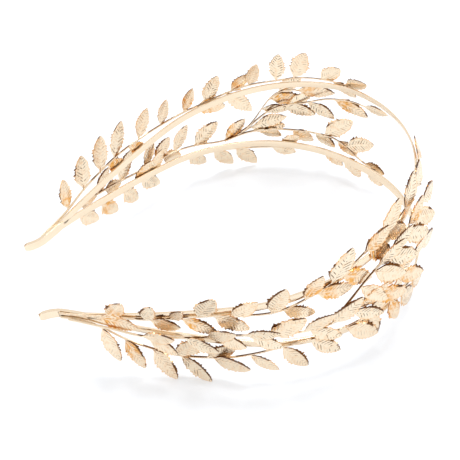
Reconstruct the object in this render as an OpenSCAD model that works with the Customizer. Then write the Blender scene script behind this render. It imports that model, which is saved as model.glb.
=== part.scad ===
// Laurel wreath crown: an open metal headband with two flat rails and leafy sprays.
// It lies on its side, with the crown end at +X, the open end at -X and the two arms at -Y and +Y.
// Lengths are in millimetres. The origin is under the middle of the object, on the surface it lies on.
//
// Band coordinates are used throughout:
//   s  distance along the band from the middle of the crown end, positive on the left arm
//   w  distance across the band from its middle line, positive upwards
//   o  distance outwards from the outer face of the rails

/* [Headband] */
// Radius of the round crown end, to the outer face of the rails
crown_r = 62; // [52:1:72]
// Angle that the round end turns on each side of its middle
crown_turn = 114; // [100:1:118]
// Radius of the gentle curve along each arm
arm_r = 338; // [200:2:400]
// Angle that the gentle curve turns
arm_turn = 11.5; // [8:0.5:18]
// Radius of the outward bend at each tip
flare_r = 12; // [10:1:25]
// Angle of the outward bend at each tip
flare_turn = 46; // [20:1:50]

/* [Rails] */
// Width of each flat rail
rail_w = 3; // [2:0.1:4]
// Thickness of each flat rail
rail_t = 0.8; // [0.6:0.05:1.2]
// Distance from the middle line to each rail at the crown end
rail_spread = 20; // [14:0.5:26]
// Share of the arm over which the rails stay fully spread
spread_from = 0.16; // [0.08:0.01:0.22]
// Share of the arm at which the rails meet
meet_at = 0.93; // [0.88:0.01:0.95]
// How roundly the rails leave each other
spread_power = 1.1; // [1:0.05:1.6]
// Outward bulge of the band between the rails at the crown end
dome = 3; // [0:0.5:5]

/* [Tips] */
// Width of the joined strip at each tip
tip_w = 3.7; // [3:0.1:5]
// Thickness of the joined strip at each tip
tip_t = 1.3; // [1:0.1:2]
// Share of the arm at which the joined strip starts
tip_from = 0.905; // [0.89:0.005:0.93]
// Share of the arm at which the rails end inside the joined strip
rails_end = 0.97; // [0.95:0.005:0.99]
// Height of the joined strip's outer face above the rails' outer face
tip_out = 0.1; // [0.05:0.05:0.3]

/* [Stems] */
// Width of a stem
stem_w = 1.2; // [0.8:0.1:1.6]
// Thickness of a stem
stem_t = 0.8; // [0.6:0.1:1.2]
// Clearance between a spray and what it lies on
seat_gap = 0.15; // [0.1:0.05:0.3]

/* [Leaves] */
// Length of a leaf blade
leaf_len = 12; // [9:0.5:14]
// Width of a leaf blade
leaf_w = 6.4; // [4.6:0.2:7]
// Thickness of the stamped sheet
leaf_t = 0.5; // [0.4:0.05:0.7]
// Length of the short stalk that carries a leaf
stalk_len = 1.6; // [1:0.1:2.5]
// Width of the stalk
stalk_w = 0.9; // [0.7:0.1:1.2]
// Depth of the fold along the midrib
fold = 0.55; // [0.2:0.05:0.9]

/* [Lying] */
// Angle that the crown end is raised as the wreath lies on its leaf tips
rest_pitch = 3.2; // [0:0.1:8]

/* [Hidden] */

LEFT = 1;
RIGHT = -1;
GOLD = [0.93, 0.76, 0.56];
PALE_GOLD = [0.96, 0.82, 0.64];

crown_len = crown_r * crown_turn * PI / 180;
gentle_len = arm_r * arm_turn * PI / 180;
flare_len = flare_r * flare_turn * PI / 180;
arm_len = crown_len + gentle_len + flare_len;

// Plan of one arm: place and heading at distance s from the middle of the crown end
gentle_start = [crown_r * cos(crown_turn), crown_r * sin(crown_turn)];
gentle_centre = gentle_start - arm_r * [cos(crown_turn), sin(crown_turn)];
bent_turn = crown_turn + arm_turn;
flare_start = gentle_centre + arm_r * [cos(bent_turn), sin(bent_turn)];
flare_centre = flare_start + flare_r * [cos(bent_turn), sin(bent_turn)];

function deg(len, radius) = len / radius * 180 / PI;
function on_crown(a) = [crown_r * cos(a), crown_r * sin(a), a];
function on_gentle(a) = concat(gentle_centre + arm_r * [cos(a), sin(a)], [a]);
function on_flare(a) = concat(flare_centre - flare_r * [cos(a), sin(a)], [a]);
function plan(s) =
    s < crown_len ? on_crown(deg(s, crown_r))
    : s < crown_len + gentle_len ? on_gentle(crown_turn + deg(s - crown_len, arm_r))
    : on_flare(bent_turn - deg(s - crown_len - gentle_len, flare_r));

// Half the distance between the rails
function spread_share(s) = max(0, min(1, (s / arm_len - spread_from) / (meet_at - spread_from)));
function half_gap(s) = rail_spread * (1 - pow(spread_share(s), spread_power));

// The bulge fades out where the band has turned a quarter
function bulge(s, w) =
    dome * max(0, cos(min(90, deg(s, crown_r)))) * (1 - pow(w / rail_spread, 2));

// A point of the band in space, before the wreath is laid down
function at(s, w, o) =
    let (p = plan(abs(s)), out = o + bulge(abs(s), w))
    [p.x + out * cos(p.z), (s < 0 ? -1 : 1) * (p.y + out * sin(p.z)), w];

// Values of s at which a strip along the band gets a section
CROWN_STEPS = 15;
GENTLE_STEPS = 6;
FLARE_STEPS = 5;
arm_marks = concat(
    [for (i = [0:CROWN_STEPS - 1]) crown_len * i / CROWN_STEPS],
    [for (i = [0:GENTLE_STEPS - 1]) crown_len + gentle_len * i / GENTLE_STEPS],
    [for (i = [0:FLARE_STEPS]) crown_len + gentle_len + flare_len * i / FLARE_STEPS]
);
function marks_from(first, last) = concat(
    [first],
    [for (s = arm_marks) if (s > first + stem_w && s < last - stem_w) s],
    [last]
);

function backwards(list) = [for (i = [len(list) - 1:-1:0]) list[i]];

// A closed skin over a list of rings with four points each
module skin4(rings) {
    n = len(rings);
    points = [for (ring = rings) each ring];
    sides = [for (i = [0:n - 2]) for (k = [0:3])
        [4 * i + k, 4 * i + 4 + k, 4 * i + 4 + (k + 1) % 4, 4 * i + (k + 1) % 4]];
    polyhedron(points, concat(sides, [[0, 1, 2, 3]], [[4 * n - 1, 4 * n - 2, 4 * n - 3, 4 * n - 4]]));
}

// One flat strip along the band; the middle of its width is mid_sign times the half gap
module strip(marks, mid_sign, width, inner, outer) {
    skin4([for (s = marks)
        let (mid = mid_sign * half_gap(abs(s)))
        [
            at(s, mid - width / 2, inner), at(s, mid + width / 2, inner),
            at(s, mid + width / 2, outer), at(s, mid - width / 2, outer)
        ]]);
}

module rail(mid_sign) {
    half = marks_from(0, arm_len * rails_end);
    other_half = [for (i = [len(half) - 1:-1:1]) -half[i]];
    strip(concat(other_half, half), mid_sign, rail_w, -rail_t, 0);
}

module tip_strip(arm) {
    marks = [for (s = marks_from(arm_len * tip_from, arm_len)) arm * s];
    strip(arm == LEFT ? marks : backwards(marks), 0, tip_w, tip_out - tip_t, tip_out);
}

// Leaves
// Share along the blade and share of the half width, from the stalk to the point
BLADE = [
    // along, half width
    [0.14, 0.62],
    [0.36, 0.98],
    [0.60, 0.95],
    [0.82, 0.58]
];
STALK_ROOT = 0.35;

// Corners of a cross-section of the stalk and of the folded blade, at distance x along the leaf
function stalk_ring(place, x) = [
    place(x, -stalk_w / 2, -leaf_t / 2), place(x, stalk_w / 2, -leaf_t / 2),
    place(x, stalk_w / 2, leaf_t / 2), place(x, -stalk_w / 2, leaf_t / 2)
];
function blade_ring(place, x, half, lift) = [
    place(x, -half, (lift - leaf_t) / 2), place(x, 0, (-lift - leaf_t) / 2),
    place(x, half, (lift - leaf_t) / 2), place(x, half, (lift + leaf_t) / 2),
    place(x, 0, (leaf_t - lift) / 2), place(x, -half, (lift + leaf_t) / 2)
];

// Faces of a leaf: two stalk rings of 4 points, the blade's rings of 6 points, then the tip
STALK_FACES = [
    [3, 2, 1, 0], [0, 1, 5, 4], [1, 2, 6, 5], [2, 3, 7, 6], [3, 0, 4, 7],
    [4, 5, 9], [4, 9, 8], [5, 10, 9], [5, 6, 11, 10], [6, 7, 12], [6, 12, 11], [7, 13, 12], [7, 4, 8, 13]
];
blade_last = 8 + 6 * (len(BLADE) - 1);
LEAF_FACES = concat(
    STALK_FACES,
    [for (i = [8:6:blade_last - 6]) for (k = [0:5]) [i + k, i + (k + 1) % 6, i + 6 + (k + 1) % 6, i + 6 + k]],
    [for (k = [0:5]) [blade_last + k, blade_last + (k + 1) % 6, blade_last + 6]]
);
MIRRORED_FACES = [for (face = LEAF_FACES) backwards(face)];

// Points of a leaf on the band: its base is at (s, w, o) and it heads towards the crown end,
// turned by angle away from the run of the band and lifted outwards by tilt
function leaf_points(arm, s, w, o, angle, size, tilt) =
    let (
        stalk = stalk_len * size,
        place = function (x, y, z) at(
            arm * (s - x * cos(angle) + y * sin(angle)),
            w + x * sin(angle) + y * cos(angle),
            o + x * tan(tilt) + z),
        rings = concat(
            [stalk_ring(place, -STALK_ROOT * stem_w), stalk_ring(place, stalk)],
            [for (row = BLADE) blade_ring(place, stalk + leaf_len * size * row[0],
                leaf_w / 2 * size * row[1], fold * row[1])]
        )
    )
    concat([for (ring = rings) each ring], [place(stalk + leaf_len * size, 0, 0)]);

// Stems
// A route gives, for shares of the arm's length, shares of the rail spread across the band
LEFT_UPPER_ROUTE = [
    // along, across
    [0.18, 1.05], [0.24, 1.05], [0.30, 1.00], [0.34, 0.90], [0.40, 0.85], [0.45, 0.75], [0.50, 0.65],
    [0.60, 0.60], [0.67, 0.60], [0.74, 0.55], [0.78, 0.45], [0.83, 0.35], [0.88, 0.15], [0.91, 0.10],
    [0.96, 0.05]
];
RIGHT_UPPER_ROUTE = [
    [0.12, 1.05], [0.30, 1.05], [0.38, 1.00], [0.42, 0.80], [0.45, 0.70], [0.50, 0.50], [0.55, 0.35],
    [0.65, 0.35], [0.70, 0.30], [0.75, 0.20], [0.80, 0.15], [0.86, 0.15], [0.90, 0.10], [0.96, 0.05]
];
LEFT_LOWER_ROUTE = [
    [0.14, -1.00], [0.20, -0.95], [0.37, -0.90], [0.45, -0.80], [0.50, -0.65], [0.56, -0.55],
    [0.62, -0.50], [0.69, -0.40], [0.74, -0.40], [0.80, -0.30], [0.86, -0.20], [0.90, -0.10],
    [0.96, -0.05]
];
RIGHT_LOWER_ROUTE = [
    [0.20, -0.85], [0.24, -0.80], [0.29, -0.70], [0.33, -0.60], [0.38, -0.55], [0.55, -0.55],
    [0.61, -0.70], [0.65, -0.80], [0.74, -0.80], [0.79, -0.65], [0.84, -0.45], [0.88, -0.15],
    [0.92, -0.05], [0.96, -0.05]
];
LEFT_TRUNK_ROUTE = [
    [0.38, -0.20], [0.42, -0.40], [0.46, -0.55], [0.50, -0.50], [0.53, -0.40], [0.58, -0.30],
    [0.64, -0.25], [0.70, -0.20], [0.76, -0.10], [0.84, 0.00], [0.94, 0.00]
];
RIGHT_TRUNK_ROUTE = [
    [0.24, 0.00], [0.35, 0.00], [0.40, -0.10], [0.46, -0.25], [0.52, -0.20], [0.60, -0.10],
    [0.64, -0.10], [0.70, -0.20], [0.80, -0.25], [0.86, -0.10], [0.94, 0.00]
];
LEFT_HIGH_ROUTE = [
    [0.30, 0.60], [0.33, 0.60], [0.36, 0.45], [0.38, 0.10], [0.40, -0.20], [0.43, -0.45]
];
RIGHT_HIGH_ROUTE = [
    [0.20, 0.75], [0.28, 0.80], [0.32, 0.70], [0.35, 0.60], [0.38, 0.50], [0.42, 0.20], [0.46, -0.20]
];
LEFT_MIDDLE_ROUTE = [
    [0.14, 0.50], [0.17, 0.55], [0.20, 0.50], [0.23, 0.45], [0.25, 0.40], [0.28, 0.25], [0.31, 0.20],
    [0.35, 0.15], [0.38, -0.05], [0.41, -0.30], [0.44, -0.50]
];
LEFT_LOW_ROUTE = [
    [0.15, -1.00], [0.17, -0.90], [0.20, -0.75], [0.22, -0.60], [0.27, -0.55], [0.32, -0.50],
    [0.38, -0.45], [0.42, -0.45], [0.47, -0.55]
];

function across(route, along) = rail_spread * lookup(along, route);

// One stem from its last leaf to its root
module stem(arm, route, rows, layer) {
    first = min([for (row = rows) row[0]]);
    last = route[len(route) - 1][0];
    marks = marks_from(first * arm_len, last * arm_len);
    rings = [for (s = marks) stem_ring(arm, route, s, layer)];
    skin4(arm == LEFT ? rings : backwards(rings));
}

function stem_ring(arm, route, s, layer) =
    let (w = across(route, s / arm_len))
    [
        at(arm * s, w - stem_w / 2, layer - stem_t / 2),
        at(arm * s, w + stem_w / 2, layer - stem_t / 2),
        at(arm * s, w + stem_w / 2, layer + stem_t / 2),
        at(arm * s, w - stem_w / 2, layer + stem_t / 2)
    ];

// Sprays
UP = 1;
DOWN = -1;
outer_layer = tip_out + seat_gap + stem_t / 2;
inner_layer = outer_layer + leaf_t + fold + seat_gap;

// Leaves of the upper and lower stems, from the tip of the arm to the crown end:
// first those that stand out beyond the rails, then those that point in between them
LEFT_UPPER_LEAVES = [
    // along, side, angle, size, tilt
    [0.88, UP, 75, 0.95, 8],
    [0.83, UP, 70, 1.05, 8],
    [0.78, UP, 65, 1.10, 10],
    [0.74, UP, 50, 1.15, 10],
    [0.67, UP, 50, 1.00, 10],
    [0.61, UP, 50, 0.80, 12],
    [0.55, UP, 50, 0.80, 10],
    [0.50, UP, 50, 0.95, 10],
    [0.44, UP, 30, 0.75, 12],
    [0.40, UP, 60, 0.75, 10],
    [0.34, UP, 80, 1.00, 8],
    [0.30, UP, 65, 1.15, 8],
    [0.24, UP, 35, 0.90, 8],
    [0.18, UP, 20, 0.85, 6],
    [0.76, DOWN, 35, 0.85, 0],
    [0.70, DOWN, 35, 0.85, 0],
    [0.52, DOWN, 20, 1.00, 0],
    [0.45, DOWN, 50, 1.15, 0],
    [0.21, DOWN, 30, 0.85, 0]
];
RIGHT_UPPER_LEAVES = [
    // along, side, angle, size, tilt
    [0.86, UP, 50, 1.00, 8],
    [0.79, UP, 60, 0.80, 12],
    [0.74, UP, 45, 0.65, 14],
    [0.69, UP, 55, 1.10, 10],
    [0.63, UP, 35, 0.95, 8],
    [0.56, UP, 65, 1.05, 8],
    [0.50, UP, 60, 0.95, 10],
    [0.45, UP, 60, 1.15, 10],
    [0.38, UP, 30, 0.90, 10],
    [0.33, UP, 50, 1.00, 10],
    [0.26, UP, 35, 1.05, 8],
    [0.20, UP, 10, 1.00, 4],
    [0.12, UP, 5, 0.95, 4],
    [0.88, DOWN, 15, 1.10, 0],
    [0.78, DOWN, 20, 0.85, 0],
    [0.72, DOWN, 30, 1.05, 0],
    [0.66, DOWN, 30, 1.00, 0],
    [0.54, DOWN, 25, 0.90, 0],
    [0.48, DOWN, 15, 1.05, 0],
    [0.43, DOWN, 35, 1.05, 0],
    [0.37, DOWN, 40, 0.95, 0],
    [0.33, DOWN, 25, 1.00, 0]
];
LEFT_LOWER_LEAVES = [
    // along, side, angle, size, tilt
    [0.86, DOWN, 45, 1.00, 8],
    [0.80, DOWN, 55, 0.95, 8],
    [0.74, DOWN, 55, 0.95, 8],
    [0.69, DOWN, 45, 1.00, 8],
    [0.56, DOWN, 45, 0.85, 8],
    [0.50, DOWN, 55, 1.05, 6],
    [0.45, DOWN, 50, 1.00, 6],
    [0.37, DOWN, 20, 0.85, 6],
    [0.25, DOWN, 30, 0.80, 4],
    [0.20, DOWN, 40, 0.85, 6],
    [0.14, DOWN, 30, 0.80, 6],
    [0.71, UP, 20, 1.05, 0],
    [0.66, UP, 45, 0.90, 0],
    [0.35, UP, 35, 0.80, 0]
];
RIGHT_LOWER_LEAVES = [
    // along, side, angle, size, tilt
    [0.88, DOWN, 65, 1.05, 18],
    [0.84, DOWN, 55, 0.95, 18],
    [0.79, DOWN, 50, 1.00, 18],
    [0.74, DOWN, 35, 1.05, 18],
    [0.68, DOWN, 10, 1.05, 14],
    [0.61, DOWN, 35, 0.85, 12],
    [0.55, DOWN, 55, 0.95, 10],
    [0.50, DOWN, 40, 1.00, 8],
    [0.43, DOWN, 40, 1.15, 8],
    [0.38, DOWN, 80, 0.90, 8],
    [0.33, DOWN, 75, 0.95, 8],
    [0.29, DOWN, 60, 1.10, 8],
    [0.24, DOWN, 55, 0.95, 8],
    [0.75, UP, 35, 1.10, 0],
    [0.69, UP, 30, 1.00, 0],
    [0.39, UP, 20, 1.00, 0],
    [0.34, UP, 35, 0.95, 0]
];
// Leaves of the trunk and of its branches
LEFT_TRUNK_LEAVES = [
    // along, side, angle, size, tilt
    [0.85, DOWN, 20, 0.85, 10],
    [0.80, UP, 30, 0.90, 10],
    [0.78, DOWN, 25, 0.85, 12],
    [0.74, UP, 35, 1.05, 12],
    [0.69, DOWN, 30, 0.90, 12],
    [0.67, UP, 40, 0.90, 12],
    [0.64, UP, 30, 0.90, 10],
    [0.62, DOWN, 30, 0.85, 12],
    [0.59, UP, 40, 0.95, 12],
    [0.54, UP, 25, 1.05, 10],
    [0.47, UP, 35, 0.95, 10],
    [0.41, DOWN, 10, 1.10, 12],
    [0.40, UP, 5, 1.00, 10]
];
RIGHT_TRUNK_LEAVES = [
    // along, side, angle, size, tilt
    [0.80, UP, 10, 1.00, 10],
    [0.79, DOWN, 25, 0.90, 12],
    [0.72, DOWN, 20, 0.95, 12],
    [0.68, UP, 20, 0.90, 10],
    [0.66, DOWN, 20, 0.80, 12],
    [0.61, UP, 10, 0.90, 10],
    [0.60, DOWN, 30, 0.85, 12],
    [0.57, UP, 30, 1.10, 10],
    [0.51, UP, 30, 0.95, 10],
    [0.50, DOWN, 30, 0.85, 12],
    [0.46, UP, 40, 1.05, 10],
    [0.42, DOWN, 30, 0.95, 12],
    [0.41, UP, 25, 1.00, 10],
    [0.37, DOWN, 30, 1.00, 14],
    [0.35, UP, 30, 1.00, 10],
    [0.32, DOWN, 30, 1.05, 12],
    [0.29, UP, 30, 0.95, 10],
    [0.24, DOWN, 15, 0.95, 8]
];
LEFT_HIGH_LEAVES = [
    // along, side, angle, size, tilt
    [0.38, DOWN, 15, 0.85, 12],
    [0.36, DOWN, 10, 1.05, 12],
    [0.34, UP, 35, 0.85, 12],
    [0.30, DOWN, 10, 1.10, 12]
];
RIGHT_HIGH_LEAVES = [
    // along, side, angle, size, tilt
    [0.40, DOWN, 50, 0.95, 12],
    [0.37, DOWN, 35, 1.00, 14],
    [0.36, UP, 30, 0.90, 12],
    [0.34, DOWN, 30, 1.00, 14],
    [0.33, UP, 20, 0.90, 12],
    [0.29, DOWN, 35, 1.00, 14],
    [0.27, UP, 25, 0.90, 12],
    [0.25, DOWN, 30, 0.95, 12],
    [0.20, DOWN, 10, 0.95, 8]
];
LEFT_MIDDLE_LEAVES = [
    // along, side, angle, size, tilt
    [0.33, DOWN, 35, 1.00, 14],
    [0.32, UP, 30, 0.80, 12],
    [0.28, DOWN, 45, 1.00, 14],
    [0.22, DOWN, 30, 1.10, 12],
    [0.15, DOWN, 5, 0.80, 8]
];
LEFT_LOW_LEAVES = [
    // along, side, angle, size, tilt
    [0.39, DOWN, 30, 0.75, 12],
    [0.32, DOWN, 45, 0.80, 14],
    [0.27, DOWN, 45, 0.80, 14],
    [0.25, UP, 35, 1.05, 12],
    [0.22, DOWN, 40, 0.80, 14],
    [0.20, UP, 20, 0.95, 10],
    [0.15, DOWN, 10, 0.75, 8]
];

function row_points(arm, route, row, layer) =
    leaf_points(arm, row[0] * arm_len, across(route, row[0]), layer, row[1] * row[2], row[3], row[4]);

module leaves(arm, route, rows, layer) {
    for (row = rows)
        polyhedron(row_points(arm, route, row, layer), arm == RIGHT ? MIRRORED_FACES : LEAF_FACES);
}

module spray(arm, branches) {
    color(PALE_GOLD) laid()
        for (branch = branches) {
            stem(arm, branch[0], branch[1], branch[2]);
            leaves(arm, branch[0], branch[1], branch[2]);
        }
}

// Every stem with its leaves: route, rows of leaves and layer
function upper_spray(arm) = arm == LEFT
    ? [[LEFT_UPPER_ROUTE, LEFT_UPPER_LEAVES, outer_layer]]
    : [[RIGHT_UPPER_ROUTE, RIGHT_UPPER_LEAVES, outer_layer]];
function lower_spray(arm) = arm == LEFT
    ? [[LEFT_LOWER_ROUTE, LEFT_LOWER_LEAVES, outer_layer]]
    : [[RIGHT_LOWER_ROUTE, RIGHT_LOWER_LEAVES, outer_layer]];
function inner_spray(arm) = arm == LEFT
    ? [
        [LEFT_TRUNK_ROUTE, LEFT_TRUNK_LEAVES, inner_layer],
        [LEFT_HIGH_ROUTE, LEFT_HIGH_LEAVES, inner_layer],
        [LEFT_MIDDLE_ROUTE, LEFT_MIDDLE_LEAVES, inner_layer],
        [LEFT_LOW_ROUTE, LEFT_LOW_LEAVES, inner_layer]
    ]
    : [
        [RIGHT_TRUNK_ROUTE, RIGHT_TRUNK_LEAVES, inner_layer],
        [RIGHT_HIGH_ROUTE, RIGHT_HIGH_LEAVES, inner_layer]
    ];

// Lying: the crown end is raised by rest_pitch, the lowest point comes to height zero,
// and the middle of the whole length and width comes to the origin
function raised(p) = [
    p.x * cos(rest_pitch) - p.z * sin(rest_pitch),
    p.y,
    p.x * sin(rest_pitch) + p.z * cos(rest_pitch)
];
outermost = concat(
    [for (arm = [LEFT, RIGHT])
        for (branch = concat(upper_spray(arm), lower_spray(arm), inner_spray(arm)))
            for (row = branch[1])
                each [for (p = row_points(arm, branch[0], row, branch[2])) raised(p)]],
    [for (arm = [LEFT, RIGHT], side = [UP, DOWN], out = [tip_out - tip_t, tip_out])
        raised(at(arm * arm_len, side * tip_w / 2, out))],
    [for (side = [UP, DOWN]) raised(at(0, side * (rail_spread - rail_w / 2), 0))]
);
function middle(values) = (min(values) + max(values)) / 2;
lowest = min([for (p = outermost) p.z]);
middle_x = middle([for (p = outermost) p.x]);
middle_y = middle([for (p = outermost) p.y]);
module laid() {
    translate([-middle_x, -middle_y, -lowest]) rotate([0, -rest_pitch, 0]) children();
}

module band_rails() {
    color(GOLD) laid() {
        rail(1);
        rail(-1);
        tip_strip(LEFT);
        tip_strip(RIGHT);
    }
}

module left_upper_spray() { spray(LEFT, upper_spray(LEFT)); }
module left_inner_spray() { spray(LEFT, inner_spray(LEFT)); }
module left_lower_spray() { spray(LEFT, lower_spray(LEFT)); }
module right_upper_spray() { spray(RIGHT, upper_spray(RIGHT)); }
module right_inner_spray() { spray(RIGHT, inner_spray(RIGHT)); }
module right_lower_spray() { spray(RIGHT, lower_spray(RIGHT)); }

band_rails();
left_upper_spray();
left_inner_spray();
left_lower_spray();
right_upper_spray();
right_inner_spray();
right_lower_spray();
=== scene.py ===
"""Looks of a laurel wreath crown: stamped leaves, wire stems and flat rails in champagne gold plate."""

import logging
import math
import random
from dataclasses import dataclass, field
from enum import Enum
from typing import Iterable, Sequence

import bpy
import numpy as np
from mathutils import Matrix, Vector


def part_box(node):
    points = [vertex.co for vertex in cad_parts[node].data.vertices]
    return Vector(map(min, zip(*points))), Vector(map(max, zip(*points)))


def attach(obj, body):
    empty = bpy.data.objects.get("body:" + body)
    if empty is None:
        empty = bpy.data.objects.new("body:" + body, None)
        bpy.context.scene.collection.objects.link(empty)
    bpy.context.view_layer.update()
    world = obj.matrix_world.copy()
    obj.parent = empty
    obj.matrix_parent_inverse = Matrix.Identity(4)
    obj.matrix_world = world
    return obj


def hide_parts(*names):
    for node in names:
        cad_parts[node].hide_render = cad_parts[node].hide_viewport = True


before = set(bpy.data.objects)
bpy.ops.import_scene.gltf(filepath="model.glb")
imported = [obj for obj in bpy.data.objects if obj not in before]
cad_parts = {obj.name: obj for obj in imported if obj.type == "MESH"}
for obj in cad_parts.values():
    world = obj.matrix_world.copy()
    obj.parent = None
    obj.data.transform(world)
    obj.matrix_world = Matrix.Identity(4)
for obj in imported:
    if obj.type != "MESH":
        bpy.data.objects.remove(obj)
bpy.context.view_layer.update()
LOG = logging.getLogger("wreath")
MM = 0.001
Colour = tuple[float, float, float]


class Arm(Enum):
    """The two arms of the wreath, as the sign of the distance along the band."""

    LEFT = 1
    RIGHT = -1


class Side(Enum):
    """The side of a stem that a leaf stands on, as a sign across the band."""

    UP = 1
    DOWN = -1


class Cut(Enum):
    """The dies that the leaves are stamped with."""

    BROAD = "broad"
    OVAL = "oval"
    SLIM = "slim"


UP, DOWN = Side.UP, Side.DOWN


# Modelling by hand


def only(*pieces: bpy.types.Object) -> None:
    """Selects these objects and nothing else, and makes the first one active.

    Args:
        pieces: The objects to select.
    """
    bpy.ops.object.select_all(action="DESELECT")
    for piece in pieces:
        piece.select_set(True)
    bpy.context.view_layer.objects.active = pieces[0]


def pick(piece: bpy.types.Object, vertices: Iterable[int]) -> None:
    """Selects these vertices of a piece, and nothing else, and opens edit mode on them.

    Args:
        piece: The object to edit.
        vertices: The numbers of the vertices to select.
    """
    if bpy.context.mode != "OBJECT":
        bpy.ops.object.mode_set(mode="OBJECT")
    only(piece)
    flags = np.zeros(len(piece.data.vertices), bool)
    flags[list(vertices)] = True
    piece.data.polygons.foreach_set("select", np.zeros(len(piece.data.polygons), bool))
    piece.data.edges.foreach_set("select", np.zeros(len(piece.data.edges), bool))
    piece.data.vertices.foreach_set("select", flags)
    bpy.ops.object.mode_set(mode="EDIT")
    bpy.ops.mesh.select_mode(type="VERT")


def close_edit() -> None:
    """Goes back to object mode."""
    bpy.ops.object.mode_set(mode="OBJECT")


def points(piece: bpy.types.Object) -> np.ndarray:
    """Reads where the vertices of a piece are.

    Args:
        piece: The object to read.

    Returns:
        One row of x, y and z for each vertex.
    """
    values = np.empty(len(piece.data.vertices) * 3)
    piece.data.vertices.foreach_get("co", values)
    return values.reshape(-1, 3)


def set_points(piece: bpy.types.Object, values: np.ndarray) -> None:
    """Puts the vertices of a piece at these places.

    Args:
        piece: The object to change.
        values: One row of x, y and z for each vertex.
    """
    piece.data.vertices.foreach_set("co", np.ascontiguousarray(values, float).ravel())
    piece.data.update()


def settle(piece: bpy.types.Object) -> None:
    """Applies an object's place, turn and scale to its mesh.

    Args:
        piece: The object to settle.
    """
    only(piece)
    bpy.ops.object.transform_apply(location=True, rotation=True, scale=True)


def finish_with(piece: bpy.types.Object, kind: str, **settings: object) -> None:
    """Adds a modifier to a piece and applies it.

    Args:
        piece: The object to finish.
        kind: The type of the modifier.
        settings: The modifier's own settings.
    """
    only(piece)
    modifier = piece.modifiers.new(kind.title(), kind)
    for name, value in settings.items():
        setattr(modifier, name, value)
    bpy.ops.object.modifier_apply(modifier=modifier.name)


def smooth(piece: bpy.types.Object, degrees: float) -> None:
    """Shades a piece smoothly, all but its sharper edges.

    Args:
        piece: The object to shade.
        degrees: The angle from which an edge is sharp.
    """
    only(piece)
    bpy.ops.object.shade_smooth_by_angle(angle=math.radians(degrees))


def joined(pieces: Sequence[bpy.types.Object], name: str) -> bpy.types.Object:
    """Joins several objects into one and names it.

    Args:
        pieces: The objects to join.
        name: The name of the joined object.

    Returns:
        The joined object.
    """
    only(*pieces)
    bpy.ops.object.join()
    whole = bpy.context.view_layer.objects.active
    whole.name = name
    whole.data.name = name
    return whole


def mark(piece: bpy.types.Object, name: str, value: float | np.ndarray) -> None:
    """Writes a number on each vertex of a piece, for its material to read.

    Args:
        piece: The object to mark.
        name: The name of the attribute.
        value: One number for all vertices, or one for each.
    """
    attribute = piece.data.attributes.get(name) or piece.data.attributes.new(name, "FLOAT", "POINT")
    count = len(piece.data.vertices)
    attribute.data.foreach_set("value", np.broadcast_to(np.asarray(value, np.float32), count).copy())


def marked(piece: bpy.types.Object, name: str) -> np.ndarray:
    """Reads the numbers that are written on the vertices of a piece.

    Args:
        piece: The object to read.
        name: The name of the attribute.

    Returns:
        One number for each vertex.
    """
    values = np.empty(len(piece.data.vertices), np.float32)
    piece.data.attributes[name].data.foreach_get("value", values)
    return values


# The band


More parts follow.
